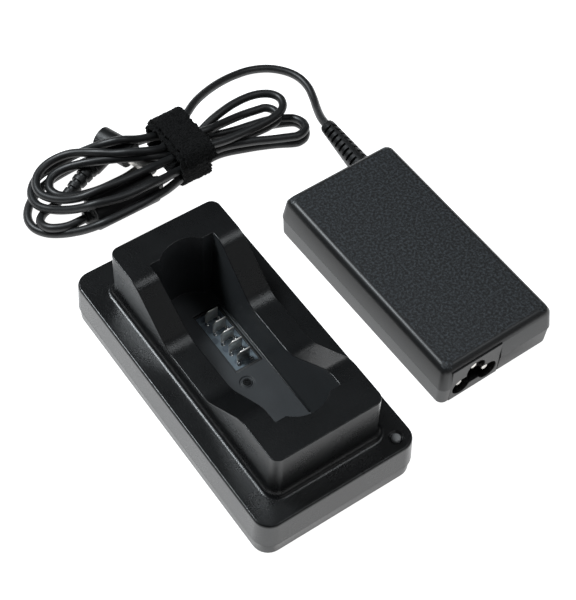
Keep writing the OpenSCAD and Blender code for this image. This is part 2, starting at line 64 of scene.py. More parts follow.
def clear_selection():
    if bpy.context.object and bpy.context.object.mode != "OBJECT":
        bpy.ops.object.mode_set(mode="OBJECT")
    bpy.ops.object.select_all(action="DESELECT")


def pick(piece):
    clear_selection()
    piece.select_set(True)
    bpy.context.view_layer.objects.active = piece


def report(piece):
    size = [round(side / MM, 1) for side in piece.dimensions]
    print(piece.name, "is", size, "mm with", len(piece.data.polygons), "faces")


# %% [markdown]
# The camera comes first. It looks down on the set from beside the cradle's front left corner,
# about half a metre away, through a long lens, and it leans a little to one side.

# %% Camera
AZIMUTH = math.radians(-37.4)
ELEVATION = math.radians(53.97)
LEAN = math.radians(3.27)
aim = mm(30.5, 20.5, 0)
away = Vector((
    math.sin(AZIMUTH) * math.cos(ELEVATION),
    -math.cos(AZIMUTH) * math.cos(ELEVATION),
    math.sin(ELEVATION),
))
clear_selection()
bpy.ops.object.camera_add(location=aim + away * 0.5086)
camera = bpy.context.object
camera.name = "bench_camera"
camera.rotation_mode = "QUATERNION"
camera.rotation_quaternion = away.to_track_quat("Z", "Y") @ Quaternion((0, 0, 1), LEAN)
camera.data.lens = 96.5
camera.data.sensor_width = 36
camera.data.shift_x = 0.007
camera.data.shift_y = -0.004
camera.data.clip_start = 0.01
bpy.context.scene.camera = camera
print("camera at", [round(c, 3) for c in camera.location])

# %% [markdown]
# The lead leaves the adapter's sleeve, drops to the bench, sweeps round and enters the tie. These
# first points are the CAD route's own, in metres. Inside the hank the lead is wound as a person
# winds it: out to the left end, back through the tie, out to the right end and back again. Each
# pass is a short list of places that the lead is led through, because it climbs over the plug and
# the suppressor that lie in the hank and no two passes do that alike.

# %% Lead route
free_lead = [
    (0.0811, 0.0682, 0.006), (0.0825, 0.0735, 0.0042), (0.0848, 0.079, 0.0024),
    (0.087, 0.084, 0.0015), (0.0886, 0.0895, 0.0015), (0.0885, 0.095, 0.0015),
    (0.0862, 0.1, 0.0015), (0.0818, 0.1044, 0.0015), (0.0755, 0.1068, 0.002),
    (0.0685, 0.1069, 0.003), (0.0615, 0.1056, 0.0044), (0.0545, 0.103, 0.0062),
    (0.048, 0.0996, 0.008), (0.042, 0.0955, 0.0092),
]
left_turn_1 = [
    (36.5, 91.8, 10.2), (30.5, 88.4, 10.6), (26.6, 85.6, 11.6), (21.2, 85.8, 13.4),
    (16, 88.3, 13.6), (11.4, 91.4, 12.9), (7.1, 95.3, 12.2), (1, 101.7, 9.4),
    (-5.7, 103.6, 7.6), (-11.3, 101.8, 6.8), (-14.3, 97.6, 6.6), (-14.3, 92.8, 6.9),
    (-11, 87, 8.6), (-6.2, 82.3, 11.4), (0.2, 80.3, 13.2), (8.6, 79.4, 13.4),
    (17.6, 79.5, 12.8), (27.8, 81, 10.2),
]
right_turn_1 = [
    (34, 80.9, 9.4), (41, 79.9, 9.4), (48, 78.8, 9.2), (56.6, 78.6, 8.8), (65.5, 79, 8.4),
    (71.4, 81, 8.2), (73.6, 85, 8.2), (71.8, 89, 8.2), (66.4, 91.4, 8.4), (58.6, 91.4, 8.8),
    (50.6, 90, 8.6), (44.6, 88.6, 7.6),
]
left_turn_2 = [
    (38.8, 86.2, 6.8), (34.4, 84.5, 7.2), (29, 83.6, 8.8), (21, 85, 11.3),
    (12.3, 89.8, 11.3), (3.7, 94.6, 10.2), (-2.9, 98.2, 8), (-8.2, 98.2, 6.9),
    (-11.2, 94.4, 6.8), (-10, 90.2, 6.9), (-5, 87.3, 6.4), (1.9, 86.4, 5.4),
    (8.9, 87.2, 3.9), (15.2, 88.6, 2.3), (22, 90, 2.3), (29, 90, 4.6),
]
right_turn_2 = [
    (34.6, 87.7, 4.5), (39.6, 85.4, 4.4), (44.6, 82.4, 4.8), (50.6, 80.6, 5.4),
    (58, 79.2, 5.6), (63, 78.8, 5.6), (66.4, 79.2, 5.4), (68.4, 79.7, 5.4),
    (69.9, 81.2, 5.3), (70.5, 83.2, 5.3), (69.9, 85.3, 5.2), (68.4, 86.8, 5.2),
    (66.4, 87.3, 5.2), (59, 87.8, 6), (50.1, 86.7, 8), (44.2, 85.6, 9.8),
]
left_turn_3 = [
    (38.4, 87, 9.6), (33.4, 90.6, 8.6), (28.6, 92.7, 9.6), (22, 93.2, 11.6),
    (16.3, 94.4, 13.6), (11.2, 97, 12.4), (6.8, 100, 9.6), (1, 102.9, 6.2),
    (-5.6, 103.8, 4.4), (-11.8, 102.8, 3.6), (-16, 98.6, 3.4), (-17, 92.6, 4),
    (-14, 86.6, 5.8), (-9.6, 80.6, 9.4), (-4.2, 76.6, 12.4), (5.4, 74.3, 12.4),
    (14, 74.1, 12.2), (21, 75.2, 10.4), (27.6, 77.2, 7.8),
]
right_turn_3 = [
    (34, 77.8, 6.7), (44.5, 79.5, 6), (54.4, 76.3, 6.3), (61.9, 73, 6.2), (67.7, 71, 5.6),
    (70.4, 70.1, 5.5), (73.2, 70.7, 5.2), (75.3, 72.5, 4.6), (76.1, 75.2, 4),
    (75.5, 77.9, 3.5), (73.6, 80, 3.2), (68, 82.9, 3), (61.5, 84.2, 3.2), (55.3, 84.8, 3.8),
    (50.1, 85.6, 4.4), (44, 87.4, 5),
]
left_turn_4 = [
    (37, 90.4, 5.4), (30.5, 94.2, 7), (24, 97.6, 5), (17.4, 100.6, 1.8), (9, 102, 1.5),
    (0, 102.2, 1.5), (-9, 101, 1.5), (-16.4, 97.6, 1.5), (-21, 92.6, 1.5),
    (-21.9, 87.4, 1.5), (-19.4, 82.6, 1.7), (-15, 78.4, 3), (-10, 74.4, 5.6),
    (-4.4, 71.6, 8.2), (3, 71.1, 8.6), (12, 71.3, 8.6), (20, 72.9, 7.2), (27, 75.8, 5.2),
]
right_turn_4 = [
    (34, 78.2, 3.6), (45, 80.2, 2), (55.4, 77.5, 1.5), (63.6, 74.1, 1.5), (69.2, 71.1, 1.5),
    (71.5, 70.4, 1.5), (73.9, 70.9, 1.5), (75.7, 72.6, 1.5), (76.4, 74.9, 1.5),
    (75.9, 77.3, 1.5), (74.2, 79.1, 1.5), (68.8, 81.5, 1.5), (62.5, 83.2, 1.5),
    (56.1, 84.8, 1.5), (50.2, 85.7, 1.8), (43, 84.6, 2.4),
]
into_plug = [
    (34, 83.2, 3.2), (27.4, 80, 4.6), (22, 78.4, 5.6), (15, 78.3, 5.6), (7, 78.3, 5.6),
    (-1, 78.3, 5.6), (-8, 78.3, 5.6), (-13.9, 79.1, 5), (-18.6, 82.2, 4.3),
    (-19.4, 86.6, 3.1), (-16.4, 90, 2), (-11.9, 90.7, 2.5), (-8.2, 91.3, 3.6),
]

turns = [
    left_turn_1, right_turn_1, left_turn_2, right_turn_2, left_turn_3, right_turn_3,
    left_turn_4, right_turn_4, into_plug,
]
guide = [Vector(p) for p in free_lead] + [mm(*p) for turn in turns for p in turn]
print("the lead is led through", len(guide), "places")

# %% [markdown]
# A curve that only joins those places would have corners. A smooth one runs through every place
# and leaves each in the direction from the one before to the one after. It is worked out here,
# close enough together to bend softly, and given to one poly spline with a round section. The
# section is one metre in radius and each point scales it down, because Blender grows a curve's
# box by its points' radius, and a radius of 1 would make the box two metres too large.

# %% Lead
LEAD_THICK = 2.9 * MM
STEPS = 7


def smooth_line(places, steps):
    padded = [places[0] * 2 - places[1], *places, places[-1] * 2 - places[-2]]
    line = []
    for before, a, b, after in zip(padded, padded[1:], padded[2:], padded[3:]):
        for i in range(steps):
            t = i / steps
            line.append(0.5 * (
                2 * a + (b - before) * t
                + (2 * before - 5 * a + 4 * b - after) * t ** 2
                + (3 * a - before - 3 * b + after) * t ** 3
            ))
    return line + [places[-1]]


def lead_along(name, line, thick):
    curve = bpy.data.curves.new(name, "CURVE")
    curve.dimensions = "3D"
    curve.bevel_depth = 1
    curve.bevel_resolution = 5
    curve.use_fill_caps = True
    spline = curve.splines.new("POLY")
    spline.points.add(len(line) - 1)
    for point, place in zip(spline.points, line):
        point.co = (*place, 1)
        point.radius = thick / 2
    spline.use_smooth = True
    piece = bpy.data.objects.new(name, curve)
    bpy.context.collection.objects.link(piece)
    return piece


lead_line = smooth_line(guide, STEPS)
lead = lead_along("dc_lead", lead_line, LEAD_THICK)
lead_length = sum((b - a).length for a, b in zip(lead_line, lead_line[1:]))
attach(lead, "adapter")
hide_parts("dc_cord", "cord_hank")
print("lead length", round(lead_length, 3), "m")

# %% [markdown]
# Every finish is a Principled shader. What is the same all over a surface is set on the shader's
# own sockets. What changes over it is worked out by nodes, and two small classes keep that
# readable: Level is one number that varies, so 1 - speck * 0.5 adds the Math nodes, and Finish
# makes the material and any other node.

# %% Shader helpers
class Level:
    """A number that varies over a surface."""

    def __init__(self, finish, socket):
        self.finish = finish
        self.socket = socket

    def maths(self, operation, a, b):
        node = self.finish.node("ShaderNodeMath", {"operation": operation}, {0: a, 1: b})
        return Level(self.finish, node.outputs[0])

    def __add__(self, other):
        return self.maths("ADD", self, other)

    def __sub__(self, other):
        return self.maths("SUBTRACT", self, other)

    def __rsub__(self, other):
        return self.maths("SUBTRACT", other, self)

    def __mul__(self, other):
        return self.maths("MULTIPLY", self, other)

    __radd__ = __add__
    __rmul__ = __mul__


class Finish:
    """A material with a Principled shader and the nodes that feed it."""

    def __init__(self, name, **fixed):
        self.material = bpy.data.materials.new(name)
        self.material.use_nodes = True
        self.tree = self.material.node_tree
        self.shader = self.tree.nodes["Principled BSDF"]
        self.place = self.node("ShaderNodeTexCoord").outputs["Object"]
        for socket, value in fixed.items():
            self.shader.inputs[socket.replace("_", " ")].default_value = value

    def node(self, kind, settings=None, sockets=None):
        node = self.tree.nodes.new(kind)
        for setting, value in (settings or {}).items():
            setattr(node, setting, value)
        for key, value in (sockets or {}).items():
            self.feed(node.inputs[key], value)
        return node

    def feed(self, socket, value):
        value = getattr(value, "socket", value)
        if isinstance(value, bpy.types.NodeSocket):
            self.tree.links.new(value, socket)
        else:
            socket.default_value = value

    def noise(self, per_mm, detail=2.0, roughness=0.5, place=None):
        node = self.node("ShaderNodeTexNoise", None, {
            "Vector": place or self.place, "Scale": per_mm / MM,
            "Detail": detail, "Roughness": roughness,
        })
        return Level(self, node.outputs["Fac"])

    def cells(self, per_mm, place=None):
        node = self.node("ShaderNodeTexVoronoi", None, {
            "Vector": place or self.place, "Scale": per_mm / MM,
        })
        return Level(self, node.outputs["Distance"])

    def ramp(self, level, low, high):
        node = self.node("ShaderNodeMapRange", {"clamp": True}, {
            "Value": level, "From Min": low, "From Max": high,
        })
        return Level(self, node.outputs["Result"])

    def blend(self, share, first, second):
        node = self.node("ShaderNodeMix", {"data_type": "RGBA"}, {0: share, 6: first, 7: second})
        return node.outputs[2]

    def stretched(self, x, y, z):
        node = self.node("ShaderNodeMapping", None, {"Vector": self.place, "Scale": (x, y, z)})
        return node.outputs["Vector"]

    def colour(self, value):
        self.feed(self.shader.inputs["Base Color"], value)

    def roughness(self, value):
        self.feed(self.shader.inputs["Roughness"], value)

    def bump(self, height, depth_mm, strength=1.0):
        node = self.node("ShaderNodeBump", None, {
            "Height": height, "Distance": depth_mm * MM, "Strength": strength,
        })
        self.feed(self.shader.inputs["Normal"], node.outputs["Normal"])


def grey(level, blue=0.0):
    return (level, level * (1 + blue * 0.5), level * (1 + blue), 1)


# %% [markdown]
# The cradle is moulded in black plastic with a fine spark-eroded texture: matt, but smooth enough
# to throw back the pale bench from its upright sides. Two noises make it: a fine one for the
# grain, and a slow one so that the gloss isn't even. The pocket's plastic is a little rougher, and
# its colour is painted several times lighter and bluer: a painted sheen on its floor and painted
# fill light on its walls. The adapter's lid has a far coarser grain whose peaks are painted paler
# as painted glints, and its sides are plain satin.

# %% Plastic finishes
def cradle_black():
    finish = Finish("cradle_black_plastic", Specular_IOR_Level=0.5)
    grain = finish.noise(2.6, 3)
    slow = finish.noise(0.09, 2)
    finish.colour(finish.blend(slow, grey(0.0045, 0.1), grey(0.007, 0.16)))
    finish.roughness(0.22 + slow * 0.08 + grain * 0.05)
    finish.bump(grain, 0.05)
    return finish.material


def adapter_lid_texture_painted_glints():
    finish = Finish("adapter_lid_texture_painted_glints", Specular_IOR_Level=0.5)
    grain = finish.noise(1.25, 3, 0.65)
    spark = finish.ramp(grain, 0.44, 0.66)
    # The paler specks are painted glints on the grain's peaks.
    finish.colour(finish.blend(spark, grey(0.006, 0.1), grey(0.058, 0.25)))
    finish.roughness(0.52 - spark * 0.16)
    finish.bump(grain, 0.16)
    return finish.material


def adapter_satin():
    finish = Finish("adapter_satin_plastic", Specular_IOR_Level=0.5)
    grain = finish.noise(3.2, 3)
    slow = finish.noise(0.07, 2)
    finish.colour(finish.blend(slow, grey(0.014), grey(0.019, 0.06)))
    finish.roughness(0.32 + slow * 0.08 + grain * 0.05)
    finish.bump(grain, 0.022)
    return finish.material


def inlet_black():
    finish = Finish("inlet_black_plastic", Specular_IOR_Level=0.45)
    grain = finish.noise(2.2, 3)
    finish.colour(finish.blend(grain, grey(0.004), grey(0.008, 0.06)))
    finish.roughness(0.34 + grain * 0.12)
    finish.bump(grain, 0.02)
    return finish.material


def pocket_paint_sheen():
    finish = Finish("pocket_sheen_and_fill_painted", Specular_IOR_Level=0.4)
    grain = finish.noise(3.0, 3)
    slow = finish.noise(0.12, 2)
    # The colour is painted several times lighter and bluer than the cradle's: painted sheen and
    # fill light.
    finish.colour(finish.blend(slow, grey(0.03, 0.12), grey(0.046, 0.2)))
    finish.roughness(0.42 + slow * 0.1 + grain * 0.06)
    finish.bump(grain, 0.03)
    return finish.material


cradle_plastic = cradle_black()
pocket_painted_sheen = pocket_paint_sheen()
lid_texture_and_glints = adapter_lid_texture_painted_glints()
satin_plastic = adapter_satin()
inlet_plastic = inlet_black()
print("plastic finishes:", cradle_plastic.name, lid_texture_and_glints.name, satin_plastic.name)

# %% [markdown]
# The lead, its sleeves and its plug are soft vinyl, smoother and a little glossier than the
# housings. The tie is hook-and-loop tape: a felt of black loops that hardly shines at all, so its
# bump is coarse and its roughness full, with a little sheen from the fibres' tips.

# %% Soft finishes
def lead_vinyl():
    finish = Finish("lead_vinyl", Specular_IOR_Level=0.5)
    drawn = finish.noise(0.5, 3)
    fine = finish.noise(4.0, 2)
    finish.colour(finish.blend(drawn, grey(0.0105), grey(0.0155, 0.1)))
    finish.roughness(0.36 + drawn * 0.12)
    finish.bump(drawn * 0.7 + fine * 0.3, 0.03)
    return finish.material


def moulded_vinyl():
    finish = Finish("moulded_vinyl", Specular_IOR_Level=0.45)
    grain = finish.noise(1.8, 4)
    finish.colour(finish.blend(grain, grey(0.005), grey(0.009, 0.1)))
    finish.roughness(0.38 + grain * 0.14)
    finish.bump(grain, 0.04)
    return finish.material


def loop_felt():
    finish = Finish("loop_felt", Specular_IOR_Level=0.08, Sheen_Weight=0.02, Sheen_Roughness=0.6)
    loops = finish.cells(2.3)
    fuzz = finish.noise(3.4, 4, 0.7)
    matted = finish.noise(0.5, 2)
    fibres = finish.ramp(fuzz + loops, 0.7, 1.2)
    finish.colour(finish.blend(fibres, grey(0.001), grey(0.014, 0.02)))
    finish.roughness(0.94 + matted * 0.06)
    finish.bump(loops * 0.6 + fuzz * 0.6, 0.4)
    return finish.material


def foot_rubber():
    finish = Finish("foot_rubber", Specular_IOR_Level=0.35)
    grain = finish.noise(2.4, 3)
    finish.colour(finish.blend(grain, grey(0.014), grey(0.026)))
    finish.roughness(0.62 + grain * 0.2)
    finish.bump(grain, 0.03)
    return finish.material


vinyl = lead_vinyl()
soft_mould = moulded_vinyl()
felt = loop_felt()
rubber = foot_rubber()
print("soft finishes:", vinyl.name, soft_mould.name, felt.name, rubber.name)

# %% [markdown]
# Metals are told apart by colour, gloss and how they are marked. Nickelled contacts are bright and
# faintly scratched along their length, zinc on the screws is duller and mottled, and rolled
# aluminium shows its rolling lines.

# %% Metal finishes
def metal(name, pale, dark, gloss, stretch=(1, 1, 1), scratch=0.006, per_mm=1.6):
    finish = Finish(name, Metallic=1.0)
    marks = finish.noise(per_mm, 4, 0.6, finish.stretched(*stretch))
    finish.colour(finish.blend(marks, dark, pale))
    finish.roughness(gloss + marks * 0.18)
    finish.bump(marks, scratch)
    return finish.material


nickel = metal("contact_nickel", (0.92, 0.9, 0.86, 1), (0.78, 0.76, 0.72, 1), 0.3, (0.3, 1, 2))
brass = metal("contact_brass", (0.8, 0.62, 0.3, 1), (0.6, 0.42, 0.18, 1), 0.22)
zinc = metal("zinc_steel", (0.62, 0.63, 0.65, 1), (0.4, 0.41, 0.43, 1), 0.3, per_mm=0.9)
aluminium = metal("sink_aluminium", (0.8, 0.81, 0.82, 1), (0.6, 0.61, 0.63, 1), 0.34, (1, 0.1, 3))
solder = metal("solder", (0.86, 0.87, 0.88, 1), (0.62, 0.63, 0.65, 1), 0.14, per_mm=2.4)
print("metal finishes:", [m.name for m in (nickel, brass, zinc, aluminium, solder)])

# %% [markdown]
# The parts inside are only seen through gaps or when the housings are taken off, but they still
# get their own finishes. The circuit boards show their copper under the lacquer as paler paths.

# %% Electronics finishes
def laminate(name, lacquer, copper):
    finish = Finish(name, Specular_IOR_Level=0.5)
    paths = finish.ramp(finish.cells(0.32), 0.42, 0.46)
    mottle = finish.noise(0.6, 4)
    base = finish.blend(paths, lacquer, copper)
    finish.colour(finish.blend(mottle * 0.35, base, tuple(c * 0.5 for c in lacquer[:3]) + (1,)))
    finish.roughness(0.3 + mottle * 0.2)
    finish.bump(paths * 0.7 + mottle * 0.3, 0.04)
    return finish.material


def moulded_part(name, pale, dark, gloss, per_mm=1.5, depth=0.03):
    finish = Finish(name, Specular_IOR_Level=0.5)
    grain = finish.noise(per_mm, 3)
    finish.colour(finish.blend(grain, dark, pale))
    finish.roughness(gloss + grain * 0.15)
    finish.bump(grain, depth)
    return finish.material


def wound_wire():
    finish = Finish("choke_wire", Metallic=0.6, Specular_IOR_Level=0.6)
    wave = finish.node("ShaderNodeTexWave", {"bands_direction": "Z"}, {
        "Vector": finish.place, "Scale": 0.35 / MM, "Distortion": 1.2, "Detail": 1.0,
    })
    turns_of_wire = Level(finish, wave.outputs["Fac"])
    finish.colour(finish.blend(turns_of_wire, (0.09, 0.03, 0.01, 1), (0.62, 0.27, 0.09, 1)))
    finish.roughness(0.28 + turns_of_wire * 0.1)
    finish.bump(turns_of_wire, 0.25)
    return finish.material


board_blue = laminate("charger_laminate", (0.09, 0.115, 0.14, 1), (0.15, 0.19, 0.22, 1))
board_green = laminate("adapter_laminate", (0.02, 0.11, 0.05, 1), (0.04, 0.18, 0.07, 1))
component = moulded_part("component_black", grey(0.03), grey(0.012), 0.42)
can_sleeve = moulded_part("capacitor_sleeve", (0.02, 0.03, 0.09, 1), (0.01, 0.015, 0.05, 1), 0.2)
ferrite_grey = moulded_part("ferrite", grey(0.06), grey(0.025), 0.55, 2.4, 0.06)
tape = moulded_part("winding_tape", (0.6, 0.4, 0.06, 1), (0.48, 0.3, 0.03, 1), 0.22, 0.5)
film_case = moulded_part("film_capacitor_case", (0.5, 0.3, 0.04, 1), (0.4, 0.22, 0.02, 1), 0.3)
fuse_body = moulded_part("fuse_glass", (0.6, 0.57, 0.5, 1), (0.5, 0.47, 0.4, 1), 0.08)
led_resin = moulded_part("led_resin", (0.85, 0.8, 0.6, 1), (0.7, 0.66, 0.5, 1), 0.2)
copper_wire = wound_wire()
print("electronics finishes made")

# %% [markdown]
# The status light is a small clear dome. Its colour is painted pale and milky, a painted highlight
# for the light it catches from all round, and its shader lets only a part of the light through. A
# faint cloudiness varies that colour.

# %% Clear dome finish, painted pale as a highlight
def make_dome_painted_highlight():
    finish = Finish("clear_lens", IOR=1.5, Transmission_Weight=0.25, Specular_IOR_Level=0.6)
    cloud = finish.noise(0.9, 3)
    # The pale colour is a painted highlight on the clear dome.
    finish.colour(finish.blend(cloud, (0.62, 0.65, 0.66, 1), (0.9, 0.92, 0.93, 1)))
    finish.roughness(0.08 + cloud * 0.2)
    finish.bump(cloud, 0.03)
    return finish.material


lens_painted_highlight = make_dome_painted_highlight()
print("dome finish made")

# %% [markdown]
# The gap between two shells is too narrow for light to reach its foot, so it reads as a black
# line. That shade is painted: a matt finish that shines nowhere, with a little dust in it, is kept
# for those faces.

# %% Seam finish, painted shade
def seam_shade():
    finish = Finish("seam_shade", Specular_IOR_Level=0.0, Roughness=1.0)
    dust = finish.ramp(finish.noise(0.7, 4, 0.6), 0.5, 0.85)
    finish.colour(finish.blend(dust, grey(0.0008), grey(0.008)))
    finish.bump(dust, 0.01)
    return finish.material


seam_dark = seam_shade()
print("seam finish made")

# %% [markdown]
# A CAD node whose shape is right stays as it is and only takes a finish.

# %% Finishes on the CAD nodes
node_finish = {
    "charger_board": board_blue, "status_led": led_resin, "dc_jack_body": inlet_plastic,
    "dc_jack_pin": nickel, "power_inductor": component, "input_capacitor": can_sleeve,
    "charge_controller": component, "power_transistor": component, "case_screws": zinc,
    "cradle_feet": rubber, "adapter_feet": rubber, "adapter_board": board_green,
    "transformer_core": ferrite_grey, "transformer_winding": tape, "bulk_capacitor": can_sleeve,
    "output_capacitors": can_sleeve, "filter_choke": copper_wire,
    "suppression_capacitor": film_case, "bridge_rectifier": component,
    "primary_heat_sink": aluminium, "output_heat_sink": aluminium, "mains_fuse": fuse_body,
    "ferrite_bead": ferrite_grey, "plug_barrel": nickel,
    "plug_insulator": component, "plug_contact": brass,
}


def finish_piece(piece, material):
    piece.data.materials.clear()
    piece.data.materials.append(material)


for node, material in node_finish.items():
    finish_piece(nodes[node], material)
finish_piece(lead, vinyl)
print("finishes on", len(node_finish), "CAD nodes")

# %% [markdown]
# The housings keep the CAD's exact walls, hollows and openings, but a moulded edge is never sharp.
# A copy of the node's mesh is merged, because an imported mesh is loose triangles, its flat faces
# are joined again, and a Bevel modifier then rounds every edge sharper than a set angle. The
# stepped sweep at the tub's foot is shallower than that, so it is only shaded smooth. Weighted
# normals then let each large face keep its own direction, so that flat faces still look flat.

# %% Softened copies of the housings
MERGE_WITHIN = 0.002 * MM
SAME_PLANE = math.radians(0.6)
SMOOTH_BELOW = 38


def softened(node, name, body, material, edge_mm, sharp=35, steps=3):
    clear_selection()
    piece = bpy.data.objects.new(name, nodes[node].data.copy())
    bpy.context.collection.objects.link(piece)
    pick(piece)
    bpy.ops.object.mode_set(mode="EDIT")
    bpy.ops.mesh.select_all(action="SELECT")
    bpy.ops.mesh.remove_doubles(threshold=MERGE_WITHIN)
    bpy.ops.mesh.dissolve_limited(angle_limit=SAME_PLANE)
    bpy.ops.object.mode_set(mode="OBJECT")
    rounding = piece.modifiers.new("edge_rounding", "BEVEL")
    rounding.width = edge_mm * MM
    rounding.segments = steps
    rounding.limit_method = "ANGLE"
    rounding.angle_limit = math.radians(sharp)
    rounding.use_clamp_overlap = False
    rounding.miter_outer = "MITER_ARC"
    bpy.ops.object.modifier_apply(modifier=rounding.name)
    bpy.ops.object.shade_smooth_by_angle(angle=math.radians(SMOOTH_BELOW))
    flat_faces = piece.modifiers.new("flat_faces_stay_flat", "WEIGHTED_NORMAL")
    flat_faces.keep_sharp = True
    bpy.ops.object.modifier_apply(modifier=flat_faces.name)
    finish_piece(piece, material)
    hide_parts(node)
    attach(piece, body)
    report(piece)
    return piece


cradle_cover = softened(
    "cradle_top_shell", "cradle_cover", "cradle", cradle_plastic, 0.28)
cradle_tray = softened(
    "cradle_base_shell", "cradle_tray", "cradle", cradle_plastic, 0.2)
adapter_lid = softened(
    "adapter_top_shell", "adapter_lid", "adapter", satin_plastic, 0.12)
adapter_tray = softened(
    "adapter_bottom_shell", "adapter_tray", "adapter", satin_plastic, 0.15)

# %% [markdown]
# Two housings carry a second finish. The pocket's painted sheen and fill light go on the faces
# inside a box round it that don't look upwards, and on the floor, which does. The lid's grain,
# with its painted glints, goes only on its flat top.

# %% Second finishes, and the inlet and the dome
POCKET_LOW = mm(-11.2, -36, 7.7)
POCKET_HIGH = mm(11.2, 40, 34.5)
FLOOR_BELOW = 9.5 * MM
cradle_cover.data.materials.append(pocket_painted_sheen)
for face in cradle_cover.data.polygons:
    inside = all(low < c < high for low, c, high in zip(POCKET_LOW, face.center, POCKET_HIGH))
    if inside and (face.normal.z < 0.35 or face.center.z < FLOOR_BELOW):
        face.material_index = 1
adapter_lid.data.materials.append(lid_texture_and_glints)
lid_top = max(vertex.co.z for vertex in adapter_lid.data.vertices)
for face in adapter_lid.data.polygons:
    if face.normal.z > 0.9 and face.center.z > lid_top - 0.5 * MM:
        face.material_index = 1
softened("mains_inlet", "inlet_block", "adapter", inlet_plastic, 0.25)
softened("status_lens", "light_dome", "cradle", lens_painted_highlight, 0.05)

# %% [markdown]
# Each shell is now cut level just above and just below its joint, and the narrow band between the
# cuts takes the seam's finish. The cradle's joint is a real gap under an overhang, so the band
# lies inside it as painted shade and on the strip just below as a painted shadow of the overhang.
# The overhang hides most of that band from above, and it shows from lower viewpoints. The
# adapter's shells touch, so its band is the last third of a millimetre of the lower one.

# %% Seams between the shells
# The cradle's band is painted shade in the gap and painted shadow on the tray strip below it.
CRADLE_SHADE_BAND = (5.25, 6.38)
ADAPTER_SEAM = (8.05, 8.42)


def seam_band(piece, low_z, high_z):
    pick(piece)
    bpy.ops.object.mode_set(mode="EDIT")
    for z in (low_z, high_z):
        bpy.ops.mesh.select_all(action="SELECT")
        bpy.ops.mesh.bisect(plane_co=(0, 0, z * MM), plane_no=(0, 0, 1))
    bpy.ops.object.mode_set(mode="OBJECT")
    piece.data.materials.append(seam_dark)
    number = len(piece.data.materials) - 1
    for face in piece.data.polygons:
        if low_z * MM < face.center.z < high_z * MM:
            face.material_index = number
    print(piece.name, "has a seam of", sum(f.material_index == number for f in piece.data.polygons))


for shell in (cradle_cover, cradle_tray):
    seam_band(shell, *CRADLE_SHADE_BAND)
seam_band(adapter_tray, *ADAPTER_SEAM)

# %% [markdown]
# The small pieces are shaped by hand from a primitive. Two helpers cover most of them. One makes a
# block between two corners. The other starts from a filled circle and extrudes it upwards ring by
# ring, each ring scaled to its own radius, which is how a turned or moulded round part is made.

# %% Shaping helpers
def choose(piece, kind, test):
    bpy.ops.object.mode_set(mode="OBJECT")
    for parts in (piece.data.vertices, piece.data.edges, piece.data.polygons):
        parts.foreach_set("select", [False] * len(parts))
    for part in getattr(piece.data, kind):
        part.select = test(part)
    bpy.ops.object.mode_set(mode="EDIT")


def block(name, low, high):
    clear_selection()
    bpy.ops.mesh.primitive_cube_add(size=1)
    piece = bpy.context.object
    piece.name = name
    bpy.ops.object.mode_set(mode="EDIT")
    bpy.ops.mesh.select_all(action="SELECT")
    bpy.ops.transform.resize(value=Vector(high) - Vector(low))
    bpy.ops.transform.translate(value=(Vector(high) + Vector(low)) / 2)
    bpy.ops.object.mode_set(mode="OBJECT")
    return piece


def turned(name, rings, sides=40):
    """Rings are (height, radius) in mm, from the bottom up."""
    clear_selection()
    bottom, radius = rings[0]
    bpy.ops.mesh.primitive_circle_add(
        vertices=sides, radius=radius * MM, fill_type="NGON", location=(0, 0, 0))
    piece = bpy.context.object
    piece.name = name
    bpy.ops.object.mode_set(mode="EDIT")
    bpy.ops.mesh.select_all(action="SELECT")
    bpy.ops.transform.translate(value=(0, 0, bottom * MM))
    for height, next_radius in rings[1:]:
        rise = (0, 0, (height - bottom) * MM)
        bpy.ops.mesh.extrude_region_move(TRANSFORM_OT_translate={"value": rise})
        share = next_radius / radius
        bpy.ops.transform.resize(value=(share, share, 1))
        bottom, radius = height, next_radius
    bpy.ops.mesh.select_all(action="SELECT")
    bpy.ops.mesh.normals_make_consistent(inside=False)
    bpy.ops.object.mode_set(mode="OBJECT")
    return piece


def round_edges(piece, edge_mm, sharp=30, steps=2):
    pick(piece)
    rounding = piece.modifiers.new("edge_rounding", "BEVEL")
    rounding.width = edge_mm * MM
    rounding.segments = steps
    rounding.limit_method = "ANGLE"
    rounding.angle_limit = math.radians(sharp)
    bpy.ops.object.modifier_apply(modifier=rounding.name)


def copies(piece, name, moves):
    """One object holding a copy of the piece at each place."""
    made = []
    for move in moves:
        twin = piece.copy()
        twin.data = piece.data.copy()
        twin.data.transform(move if isinstance(move, Matrix) else Matrix.Translation(move))
        bpy.context.collection.objects.link(twin)
        made.append(twin)
    bpy.data.objects.remove(piece, do_unlink=True)
    clear_selection()
    for twin in made:
        twin.select_set(True)
    bpy.context.view_layer.objects.active = made[0]
    if len(made) > 1:
        bpy.ops.object.join()
    made[0].name = name
    return made[0]


def complete(piece, body, slot, material, *replaced, smooth=SMOOTH_BELOW):
    pick(piece)
    bpy.ops.object.shade_smooth_by_angle(angle=math.radians(smooth))
    finish_piece(piece, material)
    if replaced:
        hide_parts(*replaced)
    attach(piece, body)
    report(piece)
    return piece


# %% [markdown]
# The five battery contacts are stamped leaves that stand edge-on to each other. Each has its front
# top corner cut away so that the battery's slot slides onto it, and it is soldered on either side.
# The leaf is modelled once in the first one's place, and each node then gets its own copy.

# %% Battery contacts
LEAD_IN = 1.25
first_low, first_high = (Vector(corner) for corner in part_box("contact_blade_1"))
leaf = block("contact_leaf", first_low, first_high)
pick(leaf)
bpy.ops.object.mode_set(mode="EDIT")
bpy.ops.mesh.select_mode(type="EDGE")


def front_top_edge(edge):
    ends = [leaf.data.vertices[i].co for i in edge.vertices]
    return all(
        abs(end.x - first_low.x) < 0.01 * MM and abs(end.z - first_high.z) < 0.01 * MM
        for end in ends
    )


